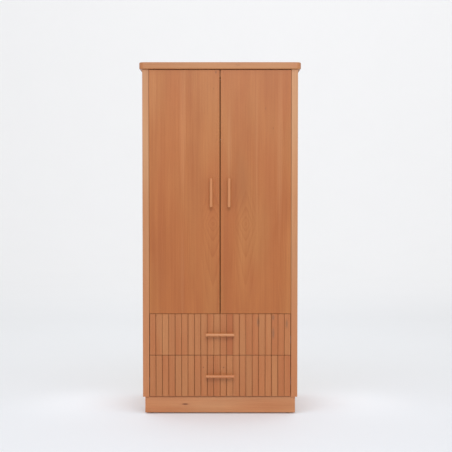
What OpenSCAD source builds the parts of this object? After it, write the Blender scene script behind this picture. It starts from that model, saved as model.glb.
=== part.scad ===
// Two-door armoire with two slatted drawers on a recessed plinth.
// Millimetres. +Z is up and the front faces -Y. The origin is on the floor,
// under the middle of the overall box, handles included.

/* [Carcass] */
// Width across the outer faces of the two side panels
body_w = 870; // [700:1:1100]
// Depth of the side panels, front edge to back edge
body_d = 580; // [450:1:720]
// Height from the floor to the top face of the top board
overall_h = 1974; // [1600:1:2400]
// Thickness of the side panels
board_t = 36; // [28:1:44]
// Thickness of the bottom, deck, shelf and stop rail
panel_t = 18; // [15:1:24]
// Thickness of the back panel
back_t = 8; // [5:1:12]
// Width of the rebate that takes the back panel in each side
rebate_w = 12; // [8:1:20]
// Gap all round the back panel in its rebates
back_play = 1; // [0.5:0.5:3]

/* [Top board] */
// Thickness of the top board
top_t = 38; // [28:1:48]
// How far the top board stands out past each side panel
top_over_side = 16.5; // [5:0.5:40]
// How far the top board stands out past the front plane
top_over_front = 15; // [5:1:40]
// Plan radius of the two front corners of the top board
top_corner_r = 26; // [10:1:60]
// Radius along the upper edge of the top board
top_upper_r = 6; // [3:1:16]
// Radius along the lower edge of the top board
top_lower_r = 6; // [3:1:16]

/* [Plinth] */
// Height of the plinth boards
plinth_h = 91; // [50:1:140]
// Thickness of the plinth boards
plinth_t = 20; // [15:1:30]
// Set-back of the plinth behind the sides and the front plane
plinth_inset = 12; // [4:1:40]
// Length of the short legs of the triangular corner blocks
block_leg = 60; // [45:1:90]
// Height of the floor glides below the plinth
glide_h = 6; // [2:0.5:12]
// Radius of a floor glide
glide_r = 15; // [10:1:17]

/* [Doors] */
// Thickness of the doors and of the drawer fronts
door_t = 22; // [18:1:28]
// Gap between a door and the side panel
door_side_gap = 1.2; // [1.2:0.1:4]
// Gap between the two doors
door_centre_gap = 5; // [2:0.5:8]
// Gap between the doors and the top board
door_top_gap = 3; // [2:0.5:12]
// Gap between the doors and the upper drawer front
door_bottom_gap = 2.2; // [2.1:0.1:5]

/* [Door pivots] */
// Distance of a pivot pin from the outer edge of its door
pivot_from_edge = 26; // [20:0.5:34]
// Distance of a pivot pin behind the front face of its door
pivot_from_face = 6.5; // [5.5:0.1:7]
// Radius of a pivot pin
pivot_r = 3; // [2:0.25:4]
// Length of a pivot pin inside the door
pivot_len = 20; // [12:1:40]
// Radial running clearance of a pivot pin in its bush
pivot_clear = 0.05; // [0.02:0.01:0.1]
// Wall of the flanged bush pressed into the door
bush_wall = 1.5; // [1:0.1:1.8]
// Gap between a bottom bracket and the door above it
pivot_play = 0.3; // [0.3:0.05:0.6]
// Thickness of a bottom pivot bracket
bracket_low_t = 1.5; // [1.2:0.1:1.5]
// Thickness of a top pivot bracket
bracket_top_t = 2.5; // [1.5:0.1:4]
// Width of the screwed pad of a pivot bracket
bracket_w = 26; // [20:1:30]
// Length of the screwed pad of a pivot bracket
bracket_len = 50; // [36:1:80]
// Distance of a bracket's screws from the ends of its pad
bracket_screw_in = 11; // [8:1:14]

/* [Drawers] */
// Height of one drawer front
front_h = 231.5; // [190:0.5:280]
// Gap between the two drawer fronts
front_gap = 2.2; // [2:0.1:6]
// Gap between a drawer front and the side panel
front_side_gap = 3; // [2:0.5:5]
// Gap between the lower drawer front and the bottom of the side panels
front_bottom_gap = 3.5; // [2:0.5:8]
// Number of vertical slats on one drawer front
slat_count = 22; // [10:2:30]
// Width of the groove between two slats
slat_gap = 3; // [2:0.5:6]
// Thickness of a slat
slat_t = 10; // [6:0.5:12]
// Thickness of the drawer box sides and back
box_t = 15; // [12:1:18]
// Gap between the top of the drawer box and the upper edge of its front
box_headroom = 29.5; // [22:0.5:90]
// Height of the drawer box above the lower edge of its front
box_lift = 22; // [18:1:28]
// Room between the drawer box and the back panel
box_rear_gap = 50; // [20:1:90]
// Thickness of the drawer bottom
drawer_bottom_t = 6; // [4:0.5:9]
// Height of the bottom groove above the lower edge of the box
groove_lift = 12; // [8:1:20]
// Depth of the bottom groove in the box sides
groove_depth = 6; // [4:0.5:8]
// Gap between the drawer bottom and the end of its groove
groove_play = 0.5; // [0.2:0.1:1]

/* [Drawer runners] */
// Width that a runner takes between the side panel and the drawer box
runner_w = 12.7; // [10:0.1:16]
// Height of the outer member of a runner
runner_h = 45; // [35:1:55]
// Sheet thickness of the runner members
runner_sheet = 1.2; // [1:0.1:1.6]
// Ball race gap between nested runner members
runner_race = 2.6; // [2:0.1:3.2]
// Gap between the webs of nested runner members
runner_web_gap = 1; // [0.5:0.1:1.5]
// Gap between the flanges of the outer member and the drawer box
outer_flange_gap = 4; // [3:0.1:5]
// Gap between the flanges of the middle member and the drawer box
middle_flange_gap = 3; // [2:0.1:4]
// Gap between the runners and the back of the drawer front
runner_front_gap = 4; // [2:0.5:10]
// Length of each runner member
runner_len = 480; // [300:1:490]
// Height of the runner's middle above the lower edge of the box
runner_lift = 60; // [35:1:100]

/* [Handles] */
// Diameter of a handle bar
handle_d = 17; // [12:0.5:22]
// Length of a handle bar
handle_len = 160; // [150:1:240]
// Finger gap between a handle bar and the front behind it
finger_gap = 21; // [18:1:40]
// Distance between the two posts of a handle
post_pitch = 128; // [96:1:132]
// Radius of a handle post
post_r = 5; // [4:0.25:6]
// Distance of a door handle from the middle of the armoire
handle_x = 50; // [35:1:90]
// How far the door handles sit below the middle of the doors
door_handle_drop = 3; // [-300:1:300]
// How far a drawer handle sits above the middle of its front
drawer_handle_rise = 1.5; // [-40:0.5:40]
// Radius of a handle screw
screw_r = 2; // [1.5:0.25:2.5]

/* [Interior] */
// Height of the hat space between the shelf and the top board
hat_space = 300; // [200:1:450]
// Distance from the underside of the hat shelf to the middle of the rail
rail_drop = 60; // [45:1:120]
// Radius of the hanging rail
rail_r = 12.5; // [9:0.5:18]
// Set-back of the hat shelf behind the doors
shelf_setback = 40; // [25:1:150]
// Height of the stop rail under the top board
stop_h = 40; // [25:1:80]
// Clearance between the stop rail and a swinging door
stop_clear = 3; // [1:0.5:10]
// Radius of a shelf pin and of its hole
shelf_pin_r = 2.5; // [2:0.25:4]
// Vertical pitch of the shelf pin holes
pin_pitch = 32; // [25:1:50]
// Distance of the front row of shelf pins behind the front of the shelf
pin_from_front = 60; // [40:1:120]
// Distance of the rear row of shelf pins from the back panel
pin_from_back = 80; // [50:1:140]
// Width of a shelf pin's tab
pin_tab_w = 10; // [8:1:16]

/* [Joinery] */
// Radius of the dowels that join the boards
dowel_r = 4; // [3:0.5:5]
// Length of a dowel
dowel_len = 40; // [24:1:44]
// Radial clearance of dowels, posts, screws and pins in their holes
hole_play = 0.1; // [0.05:0.05:0.3]
// Small gap between pieces that are not joined
stand_off = 1; // [0.5:0.5:2]

/* [Fittings] */
// Distance of the outermost top dowels from the front and back edges
dowel_edge = 60; // [40:1:100]
// Length of a shelf pin inside the side panel
pin_in = 8; // [5:1:15]
// Length of a shelf pin's tab under the shelf
pin_out = 9; // [5:1:15]
// Wall of the tubular hanging rail
rail_wall = 1.5; // [1:0.1:3]
// Thickness of a rail socket's base
socket_base_t = 3; // [2:0.5:6]
// Depth of a rail socket from the side panel inwards
socket_len = 14; // [8:1:25]
// Wall of a rail socket's cup
socket_wall = 3; // [1.5:0.5:5]
// Width of the round base outside the rail
socket_flange = 12; // [6:0.5:18]
// Radius of the nail of a floor glide
glide_stem_r = 2.5; // [1.5:0.25:4]
// Length of the nail of a floor glide
glide_stem_len = 14; // [8:1:30]
// Bevel round the foot of a floor glide
glide_ease = 1; // [0.5:0.25:1.5]
// Radius of a back panel screw
back_screw_r = 1.5; // [1:0.25:2.5]
// Length of a back panel screw
back_screw_len = 24; // [15:1:35]
// Number of screws along each side of the back panel
back_screw_count = 7; // [4:1:12]
// Distance of the outermost back screws from the ends of the sides
back_screw_edge = 80; // [40:1:150]
// Radius of a pivot bracket screw
pivot_screw_r = 1.6; // [1:0.1:2.2]
// Length of a pivot bracket screw
pivot_screw_len = 14; // [8:1:14]
// Height of a door catch
catch_h = 14; // [8:1:25]
// Width of a door catch
catch_w = 40; // [20:1:80]
// Distance of a door catch from the middle of the armoire
catch_in = 20; // [5:1:60]
// Thickness of the strike plate let into a door
strike_t = 1; // [0.5:0.1:2]
// Thickness of the flange of a pivot bush
flange_t = 1.5; // [1:0.1:3]
// How far the flange of a pivot bush stands out past its body
flange_w = 1; // [0.5:0.1:1.2]
// Gap between the end of a pivot pin and the floor of its bush
pin_end_gap = 0.5; // [0.2:0.1:2]
// Thickness of the floor of a pivot bush
bush_floor_t = 0.5; // [0.5:0.1:2]
// Radius of the eased ends of a handle bar
bar_ease = 1.5; // [0.5:0.25:4]
// Distance from the middle of a handle bar to the bottom of a post's socket
socket_floor = 3; // [1:0.5:4]
// Length of a handle screw inside its post
screw_grip = 14; // [8:1:17]

/* [Hidden] */
$fn = 64;
over = 1;
// levels, from the floor up
side_z0 = glide_h + plinth_h;
side_z1 = overall_h - top_t;
lower_z0 = side_z0 + front_bottom_gap;
upper_z0 = lower_z0 + front_h + front_gap;
door_z0 = upper_z0 + front_h + door_bottom_gap;
door_z1 = side_z1 - door_top_gap;
door_handle_z = (door_z0 + door_z1) / 2 - door_handle_drop;
box_h = front_h - box_lift - box_headroom;
deck_z1 = door_z0 - pivot_play;
deck_z0 = deck_z1 - panel_t;
shelf_z0 = side_z1 - hat_space - panel_t;
rail_z = shelf_z0 - rail_drop;

// depths, from the front back
handle_out = finger_gap + handle_d;
front_reach = max(handle_out, top_over_front);
front_y = front_reach / 2 - body_d / 2;
back_y = front_y + body_d;
handle_y = front_y - finger_gap - handle_d / 2;
front_back_y = front_y + door_t;
deck_y0 = front_back_y + stand_off;
inner_back_y = back_y - back_t;
shelf_y0 = front_back_y + shelf_setback;
box_y1 = inner_back_y - box_rear_gap;
runner_y0 = front_back_y + runner_front_gap;
pivot_y = front_y + pivot_from_face;
plinth_y0 = front_y + plinth_inset;
rail_y = (front_back_y + inner_back_y) / 2;
shelf_pin_y = [shelf_y0 + pin_from_front, inner_back_y - pin_from_back];
bracket_screw_y = [deck_y0 + bracket_screw_in, deck_y0 + bracket_len - bracket_screw_in];
// widths, from the middle out
inner_x = body_w / 2 - board_t;
plinth_x = body_w / 2 - plinth_inset;
door_w = inner_x - door_side_gap - door_centre_gap / 2;
pivot_x = inner_x - door_side_gap - pivot_from_edge;
front_x = inner_x - front_side_gap;
slat_w = (2 * front_x - (slat_count - 1) * slat_gap) / slat_count;
box_x = inner_x - runner_w;
// a door corner sweeps this far round its pin
swing_r = norm([pivot_from_edge, door_t - pivot_from_face]);
stop_x = pivot_x - swing_r - stop_clear;
bush_r = pivot_r + pivot_clear + bush_wall;
// the middle of a corner block, as far from all three of its sides
block_in = block_leg * (1 - sqrt(0.5));
// distance from the middle of a bar to the face behind it
post_end = finger_gap + handle_d / 2;
screw_head_r = 2.2 * screw_r;
screw_head_h = 1.2 * screw_r;
// members of a runner, nested with a ball race between them
middle_half = runner_h / 2 - runner_sheet - runner_race;
inner_half = middle_half - runner_sheet - runner_race;

beech = "#dcbc98";
warm_beech = "#c8925f";
handle_wood = "#d79a66";
ply = "#e3cfae";
steel = "silver";
black_steel = "#3c3b39";
dark_rubber = "#3a3836";

// ---- shapes shared by several pieces ----

// a block between two opposite corners
module block(a, b) translate(a) cube(b - a);

// the same shape on the left and on the right
module both_sides() {
    children();
    mirror([1, 0, 0]) children();
}

// what is outside a quarter circle in the corner of a board's outline
module corner_waste(r) {
    difference() {
        translate([-over, -over]) square(r + over);
        translate([r, r]) circle(r);
    }
}

// a rod that starts at p and runs along +Y
module rod_y(p, r, len) translate(p) rotate([-90, 0, 0]) cylinder(r = r, h = len);

// a rod that starts at p and runs along +X
module rod_x(p, r, len) translate(p) rotate([0, 90, 0]) cylinder(r = r, h = len);

// a countersunk screw: its head is flush with z = 0 and it points to -Z
module countersunk(r, len, play = 0) {
    head_h = r + play;
    translate([0, 0, -len]) cylinder(r = r + play, h = len);
    translate([0, 0, -head_h]) cylinder(r1 = r + play, r2 = 2 * r + 2 * play, h = head_h);
    if (play > 0) cylinder(r = 2 * r + 2 * play, h = over);
}

// ---- dowels between the boards ----

function spread(a, b, n) = [for (i = [0:n - 1]) a + (b - a) * i / (n - 1)];
top_dowel_y = spread(front_y + dowel_edge, back_y - dowel_edge, 4);
// behind the pads of the pivot brackets
panel_dowel_y = spread(deck_y0 + bracket_len + dowel_edge / 2, back_y - dowel_edge, 3);

module dowels(play = 0) {
    both_sides() {
        for (y = top_dowel_y)
            translate([body_w / 2 - board_t / 2, y, side_z1 - dowel_len / 2 - play])
                cylinder(r = dowel_r + play, h = dowel_len + 2 * play);
        for (y = panel_dowel_y, z = [side_z0, deck_z0])
            rod_x([inner_x - dowel_len / 2 - play, y, z + panel_t / 2],
                  dowel_r + play, dowel_len + 2 * play);
    }
}

module carcass_dowels() color(beech) dowels();

// ---- carcass ----

module top_board() {
    half_w = body_w / 2 + top_over_side;
    y0 = front_y - top_over_front;
    depth = back_y - y0;
    upper_r = min(top_upper_r, top_t / 2 - over);
    lower_r = min(top_lower_r, top_t / 2 - over);
    color(beech) difference() {
        intersection() {
            // plan outline with rounded front corners
            translate([0, 0, side_z1]) linear_extrude(top_t) difference() {
                translate([-half_w, y0]) square([2 * half_w, depth]);
                for (side = [-1, 1])
                    translate([side * half_w, y0]) scale([-side, 1]) corner_waste(top_corner_r);
            }
            // front view, eased above and below at both ends
            translate([0, back_y, side_z1]) rotate([90, 0, 0]) linear_extrude(depth) difference() {
                translate([-half_w, 0]) square([2 * half_w, top_t]);
                for (side = [-1, 1]) {
                    translate([side * half_w, 0]) scale([-side, 1]) corner_waste(lower_r);
                    translate([side * half_w, top_t]) scale([-side, -1]) corner_waste(upper_r);
                }
            }
            // side view, eased above and below at the front edge
            translate([-half_w, y0, side_z1]) rotate([90, 0, 90]) linear_extrude(2 * half_w) difference() {
                square([depth, top_t]);
                corner_waste(lower_r);
                translate([0, top_t]) scale([1, -1]) corner_waste(upper_r);
            }
        }
        dowels(hole_play);
        both_sides() translate([0, 0, side_z1 - over])
            linear_extrude(bracket_top_t + over) bracket_outline(hole_play);
        pivot_screw_set(hole_play);
    }
}

// the right-hand side panel, with its rebate, dowel holes and shelf pin holes
module side_panel() {
    color(beech) difference() {
        block([inner_x, front_y, side_z0], [body_w / 2, back_y, side_z1]);
        block([inner_x - over, inner_back_y, side_z0 - over],
              [inner_x + rebate_w, back_y + over, side_z1 + over]);
        dowels(hole_play);
        back_screw_set(hole_play);
        for (y = shelf_pin_y, step = [-2:2])
            rod_x([inner_x - over, y, shelf_z0 - shelf_pin_r + step * pin_pitch],
                  shelf_pin_r + hole_play, pin_in + hole_play + over);
    }
}

module right_side() side_panel();
module left_side() mirror([1, 0, 0]) side_panel();

module bottom_panel() {
    color(beech) difference() {
        block([-inner_x, deck_y0, side_z0], [inner_x, inner_back_y, side_z0 + panel_t]);
        dowels(hole_play);
    }
}

module deck_panel() {
    color(beech) difference() {
        block([-inner_x, deck_y0, deck_z0], [inner_x, inner_back_y, deck_z1]);
        dowels(hole_play);
        both_sides() translate([0, 0, deck_z1 - bracket_low_t])
            linear_extrude(bracket_low_t + over) bracket_outline(hole_play);
        pivot_screw_set(hole_play);
    }
}

module back_panel() {
    x = inner_x + rebate_w - back_play;
    color(ply) difference() {
        block([-x, inner_back_y, side_z0 + back_play], [x, back_y, side_z1 - back_play]);
        back_screw_set(hole_play);
    }
}

back_screw_z = spread(side_z0 + back_screw_edge, side_z1 - back_screw_edge, back_screw_count);

// screws that hold the back panel in its rebates
module back_screw_set(play = 0) {
    both_sides() for (z = back_screw_z)
        translate([inner_x + rebate_w / 2, back_y, z]) rotate([-90, 0, 0])
            countersunk(back_screw_r, back_screw_len, play);
}

module back_screws() color(steel) back_screw_set();

// ---- shelf, rail and stop ----

module hat_shelf() {
    x = inner_x - stand_off;
    color(beech) block([-x, shelf_y0, shelf_z0], [x, inner_back_y - stand_off, shelf_z0 + panel_t]);
}

// pins in the sides, each with a flat tab under the shelf
module shelf_pins() {
    color(steel) both_sides() for (y = shelf_pin_y) {
        rod_x([inner_x, y, shelf_z0 - shelf_pin_r], shelf_pin_r, pin_in);
        block([inner_x - pin_out, y - pin_tab_w / 2, shelf_z0 - 2 * shelf_pin_r],
              [inner_x, y + pin_tab_w / 2, shelf_z0]);
    }
}

module hanging_rail() {
    x = inner_x - socket_base_t;
    color(steel) difference() {
        rod_x([-x, rail_y, rail_z], rail_r, 2 * x);
        rod_x([-x - over, rail_y, rail_z], rail_r - rail_wall, 2 * x + 2 * over);
    }
}

module rail_sockets() {
    color(steel) both_sides() difference() {
        union() {
            rod_x([inner_x - socket_base_t, rail_y, rail_z], rail_r + socket_flange, socket_base_t);
            rod_x([inner_x - socket_len, rail_y, rail_z], rail_r + socket_wall, socket_len);
        }
        rod_x([inner_x - socket_len - over, rail_y, rail_z], rail_r + hole_play,
              socket_len + over - socket_base_t);
    }
}

// the rail under the top board that the closed doors meet
module stop_rail() {
    color(beech) block([-stop_x, deck_y0, side_z1 - stop_h], [stop_x, deck_y0 + panel_t, side_z1]);
}

// ---- plinth ----

module plinth_front() {
    color(beech) block([-plinth_x, plinth_y0, glide_h], [plinth_x, plinth_y0 + plinth_t, side_z0]);
}

module plinth_back() {
    color(beech) block([-plinth_x, back_y - plinth_t, glide_h], [plinth_x, back_y, side_z0]);
}

module plinth_right() {
    color(beech) block([plinth_x - plinth_t, plinth_y0 + plinth_t, glide_h],
                       [plinth_x, back_y - plinth_t, side_z0]);
}

module plinth_left() mirror([1, 0, 0]) plinth_right();

// repeats a child in the four inner corners of the plinth, each turned to point inwards
module plinth_corners() {
    both_sides() {
        translate([plinth_x - plinth_t, plinth_y0 + plinth_t, 0]) scale([-1, 1, 1]) children();
        translate([plinth_x - plinth_t, back_y - plinth_t, 0]) scale([-1, -1, 1]) children();
    }
}

module plinth_blocks() {
    color(beech) plinth_corners() difference() {
        translate([0, 0, glide_h]) linear_extrude(plinth_h)
            polygon([[0, 0], [block_leg, 0], [0, block_leg]]);
        translate([block_in, block_in, glide_h - over])
            cylinder(r = glide_stem_r + hole_play, h = glide_stem_len + over + hole_play);
    }
}

module floor_glides() {
    color(dark_rubber) plinth_corners() translate([block_in, block_in, 0]) {
        rotate_extrude() polygon([[0, 0], [glide_r - glide_ease, 0], [glide_r, glide_ease],
                                  [glide_r, glide_h], [0, glide_h]]);
        translate([0, 0, glide_h / 2]) cylinder(r = glide_stem_r, h = glide_stem_len + glide_h / 2);
    }
}

// ---- door pivots ----

// plan of a pivot bracket, let into the deck or the top board flush:
// a narrow tongue out to the pin and a pad behind it
module bracket_outline(play = 0) {
    tongue_r = pivot_from_face - stand_off;
    translate([pivot_x, pivot_y]) circle(tongue_r + play);
    translate([pivot_x - tongue_r - play, pivot_y])
        square([2 * (tongue_r + play), deck_y0 + over - pivot_y]);
    translate([pivot_x - bracket_w / 2 - play, deck_y0 - play])
        square([bracket_w + 2 * play, bracket_len + 2 * play]);
}

module pivot_brackets() {
    low_z0 = deck_z1 - bracket_low_t;
    color(black_steel) both_sides() difference() {
        union() {
            translate([0, 0, low_z0]) linear_extrude(bracket_low_t) bracket_outline();
            translate([pivot_x, pivot_y, low_z0])
                cylinder(r = pivot_r, h = door_z0 + pivot_len - low_z0);
            translate([0, 0, side_z1]) linear_extrude(bracket_top_t) bracket_outline();
            translate([pivot_x, pivot_y, door_z1 - pivot_len])
                cylinder(r = pivot_r, h = side_z1 + bracket_top_t - door_z1 + pivot_len);
        }
        pivot_screw_set(hole_play);
    }
}

module pivot_screw_set(play = 0) {
    both_sides() for (y = bracket_screw_y) {
        translate([pivot_x, y, deck_z1]) countersunk(pivot_screw_r, pivot_screw_len, play);
        translate([pivot_x, y, side_z1]) mirror([0, 0, 1])
            countersunk(pivot_screw_r, pivot_screw_len, play);
    }
}

module pivot_screws() color(black_steel) pivot_screw_set();

// ---- doors ----

// magnetic catches under the stop rail, one behind each door
module door_catches() {
    z1 = side_z1 - stop_h;
    color("white") both_sides()
        block([catch_in, front_back_y + stand_off / 2, z1 - catch_h],
              [catch_in + catch_w, deck_y0 + panel_t, z1]);
}

// the strike plate let into the back of the right-hand door
module strike(play = 0) {
    z1 = side_z1 - stop_h;
    block([catch_in - play, front_back_y - strike_t - play, z1 - catch_h - play],
          [catch_in + catch_w + play, front_back_y + (play > 0 ? over : 0), z1 + play]);
}

// turns children, drawn on a lower edge at z = 0, to the two pivots of the right-hand door
module at_pivots() {
    translate([pivot_x, pivot_y, door_z0]) children();
    translate([pivot_x, pivot_y, door_z1]) mirror([0, 0, 1]) children();
}

// a flanged bush in the lower and upper edge of the right-hand door
module bushes(play = 0) {
    below = play > 0 ? over : 0;
    at_pivots() translate([0, 0, -below]) {
        cylinder(r = bush_r + play, h = pivot_len + pin_end_gap + bush_floor_t + play + below);
        cylinder(r = bush_r + flange_w + play, h = flange_t + play + below);
    }
}

module pivot_bores() {
    at_pivots() translate([0, 0, -over])
        cylinder(r = pivot_r + pivot_clear, h = pivot_len + pin_end_gap + over);
}

// places a handle on the right-hand door
module at_door_handle() translate([handle_x, handle_y, door_handle_z]) rotate([0, 90, 0]) children();

module door_panel() {
    x0 = door_centre_gap / 2;
    color(warm_beech) difference() {
        block([x0, front_y, door_z0], [x0 + door_w, front_back_y, door_z1]);
        bushes(hole_play);
        strike(hole_play);
        at_door_handle() screws(hole_play);
    }
}

module door_bushes() color("#e8e2d2") difference() {
    bushes();
    pivot_bores();
}

module right_door() door_panel();
module left_door() mirror([1, 0, 0]) door_panel();
module right_door_bar() at_door_handle() bar();
module left_door_bar() mirror([1, 0, 0]) at_door_handle() bar();
module right_door_posts() at_door_handle() posts();
module left_door_posts() mirror([1, 0, 0]) at_door_handle() posts();
module right_door_screws() color(steel) at_door_handle() screws();
module left_door_screws() color(steel) mirror([1, 0, 0]) at_door_handle() screws();
module right_door_bushes() door_bushes();
module left_door_bushes() mirror([1, 0, 0]) door_bushes();
module right_door_strike() color(steel) strike();
module left_door_strike() color(steel) mirror([1, 0, 0]) strike();

// ---- handles: the bar runs along X through the origin, the front is at +Y ----

module bar() {
    r = handle_d / 2;
    color(handle_wood) difference() {
        translate([-handle_len / 2, 0, 0]) rotate([0, 90, 0]) rotate_extrude() difference() {
            square([r, handle_len]);
            translate([r, 0]) scale([-1, 1]) corner_waste(bar_ease);
            translate([r, handle_len]) scale([-1, -1]) corner_waste(bar_ease);
        }
        for (x = [-1, 1] * post_pitch / 2) rod_y([x, socket_floor, 0], post_r + hole_play, r);
    }
}

module posts() {
    color(handle_wood) for (x = [-1, 1] * post_pitch / 2) difference() {
        rod_y([x, socket_floor, 0], post_r, post_end - socket_floor);
        rod_y([x, post_end - screw_grip - hole_play, 0], screw_r + hole_play, screw_grip + over);
    }
}

// pan-head screws from inside the front into the posts
module screws(play = 0) {
    for (x = [-1, 1] * post_pitch / 2) {
        rod_y([x, post_end - screw_grip, 0], screw_r + play, screw_grip + door_t + (play > 0 ? over : 0));
        if (play == 0) rod_y([x, post_end + door_t, 0], screw_head_r, screw_head_h);
    }
}

// ---- drawer fronts, each piece drawn for a front whose lower edge is at z0 ----

module at_drawer_handle(z0) translate([0, handle_y, z0 + front_h / 2 + drawer_handle_rise]) children();

module front_board(z0) {
    color(warm_beech) difference() {
        block([-front_x, front_y + slat_t, z0], [front_x, front_back_y, z0 + front_h]);
        at_drawer_handle(z0) screws(hole_play);
    }
}

module slats(z0) {
    color(warm_beech) difference() {
        for (i = [0:slat_count - 1])
            translate([-front_x + i * (slat_w + slat_gap), front_y, z0]) cube([slat_w, slat_t, front_h]);
        at_drawer_handle(z0) screws(hole_play);
    }
}

// ---- drawer boxes ----

// the right-hand side of a box, grooved for the bottom
module box_side(z0) {
    z = z0 + box_lift;
    color(ply) difference() {
        block([box_x - box_t, front_back_y, z], [box_x, box_y1, z + box_h]);
        block([box_x - box_t - over, front_back_y - over, z + groove_lift],
              [box_x - box_t + groove_depth, box_y1 + over, z + groove_lift + drawer_bottom_t]);
    }
}

module box_back(z0) {
    x = box_x - box_t;
    z = z0 + box_lift;
    color(ply) block([-x, box_y1 - box_t, z + groove_lift + drawer_bottom_t], [x, box_y1, z + box_h]);
}

module box_bottom(z0) {
    x = box_x - box_t + groove_depth - groove_play;
    z = z0 + box_lift + groove_lift;
    color(ply) block([-x, front_back_y, z], [x, box_y1, z + drawer_bottom_t]);
}

// ---- telescopic runners: three nested channels on each side ----

// a channel along Y whose web is at x0, opening towards its flange ends at x1
module channel(x0, x1, half_h, z) {
    web = x0 < x1 ? [x0, x0 + runner_sheet] : [x0 - runner_sheet, x0];
    y1 = runner_y0 + runner_len;
    block([web[0], runner_y0, z - half_h], [web[1], y1, z + half_h]);
    for (side = [-1, 1]) {
        low = side > 0 ? half_h - runner_sheet : -half_h;
        block([min(x0, x1), runner_y0, z + low], [max(x0, x1), y1, z + low + runner_sheet]);
    }
}

// height of a runner's middle on the drawer whose front starts at z0
function runner_z(z0) = z0 + box_lift + runner_lift;

module outer_runners(z0) {
    color(steel) both_sides()
        channel(inner_x, box_x + outer_flange_gap, runner_h / 2, runner_z(z0));
}

module middle_runners(z0) {
    color(steel) both_sides()
        channel(inner_x - runner_sheet - runner_web_gap, box_x + middle_flange_gap,
                middle_half, runner_z(z0));
}

module inner_runners(z0) {
    color(steel) both_sides()
        channel(box_x, inner_x - 2 * runner_sheet - 2 * runner_web_gap, inner_half, runner_z(z0));
}

module upper_front_board() front_board(upper_z0);
module upper_slats() slats(upper_z0);
module upper_box_right() box_side(upper_z0);
module upper_box_left() mirror([1, 0, 0]) box_side(upper_z0);
module upper_box_back() box_back(upper_z0);
module upper_box_bottom() box_bottom(upper_z0);
module upper_bar() at_drawer_handle(upper_z0) bar();
module upper_posts() at_drawer_handle(upper_z0) posts();
module upper_screws() color(steel) at_drawer_handle(upper_z0) screws();
module upper_outer_runners() outer_runners(upper_z0);
module upper_middle_runners() middle_runners(upper_z0);
module upper_inner_runners() inner_runners(upper_z0);

module lower_front_board() front_board(lower_z0);
module lower_slats() slats(lower_z0);
module lower_box_right() box_side(lower_z0);
module lower_box_left() mirror([1, 0, 0]) box_side(lower_z0);
module lower_box_back() box_back(lower_z0);
module lower_box_bottom() box_bottom(lower_z0);
module lower_bar() at_drawer_handle(lower_z0) bar();
module lower_posts() at_drawer_handle(lower_z0) posts();
module lower_screws() color(steel) at_drawer_handle(lower_z0) screws();
module lower_outer_runners() outer_runners(lower_z0);
module lower_middle_runners() middle_runners(lower_z0);
module lower_inner_runners() inner_runners(lower_z0);

top_board();
left_side();
right_side();
bottom_panel();
deck_panel();
back_panel();
hat_shelf();
shelf_pins();
hanging_rail();
rail_sockets();
stop_rail();
plinth_front();
plinth_back();
plinth_left();
plinth_right();
plinth_blocks();
floor_glides();
carcass_dowels();
back_screws();
pivot_brackets();
pivot_screws();
door_catches();
upper_outer_runners();
lower_outer_runners();
left_door();
left_door_bar();
left_door_posts();
left_door_screws();
left_door_bushes();
left_door_strike();
right_door();
right_door_bar();
right_door_posts();
right_door_screws();
right_door_bushes();
right_door_strike();
upper_front_board();
upper_slats();
upper_box_left();
upper_box_right();
upper_box_back();
upper_box_bottom();
upper_bar();
upper_posts();
upper_screws();
upper_inner_runners();
lower_front_board();
lower_slats();
lower_box_left();
lower_box_right();
lower_box_back();
lower_box_bottom();
lower_bar();
lower_posts();
lower_screws();
lower_inner_runners();
upper_middle_runners();
lower_middle_runners();
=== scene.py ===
"""Looks of a two-door armoire with slatted drawers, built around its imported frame.

Every length is in metres. The front faces -Y, +Z is up, and the origin is on the floor
under the middle of the overall box. Boards take their places from the frame's nodes.
"""

from __future__ import annotations

import logging
import math
import random
from dataclasses import dataclass, field
from enum import Enum
from typing import ClassVar, Iterable, Sequence

import bmesh
import bpy
from mathutils import Matrix, Vector

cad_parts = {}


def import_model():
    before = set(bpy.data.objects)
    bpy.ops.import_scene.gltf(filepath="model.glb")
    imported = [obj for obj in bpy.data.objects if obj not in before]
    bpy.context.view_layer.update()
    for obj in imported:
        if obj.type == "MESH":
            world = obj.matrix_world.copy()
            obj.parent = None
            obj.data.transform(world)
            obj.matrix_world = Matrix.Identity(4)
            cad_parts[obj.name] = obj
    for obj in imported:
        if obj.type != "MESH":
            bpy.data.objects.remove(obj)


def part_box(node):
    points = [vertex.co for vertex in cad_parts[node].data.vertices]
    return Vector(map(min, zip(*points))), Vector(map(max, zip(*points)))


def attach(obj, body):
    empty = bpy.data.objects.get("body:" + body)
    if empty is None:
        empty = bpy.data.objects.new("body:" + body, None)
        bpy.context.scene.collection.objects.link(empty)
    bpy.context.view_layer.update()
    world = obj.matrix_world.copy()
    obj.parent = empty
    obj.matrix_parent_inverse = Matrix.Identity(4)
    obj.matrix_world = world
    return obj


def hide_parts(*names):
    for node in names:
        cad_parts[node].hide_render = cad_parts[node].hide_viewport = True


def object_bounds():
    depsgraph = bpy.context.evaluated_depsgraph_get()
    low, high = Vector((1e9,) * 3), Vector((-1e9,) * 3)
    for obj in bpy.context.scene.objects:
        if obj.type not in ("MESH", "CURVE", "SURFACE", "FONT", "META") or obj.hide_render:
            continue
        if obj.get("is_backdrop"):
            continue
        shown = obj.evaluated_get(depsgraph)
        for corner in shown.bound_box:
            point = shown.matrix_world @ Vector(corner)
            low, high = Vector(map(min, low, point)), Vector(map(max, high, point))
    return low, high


log = logging.getLogger("armoire")

MM = 0.001
NO_SHIFT = (0.0, 0.0, 0.0)
RGB = tuple[float, float, float]
Point = tuple[float, float, float]
Socket = bpy.types.NodeSocket


class Axis(Enum):
    """A direction of the row frame."""

    X = 0
    Y = 1
    Z = 2


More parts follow.
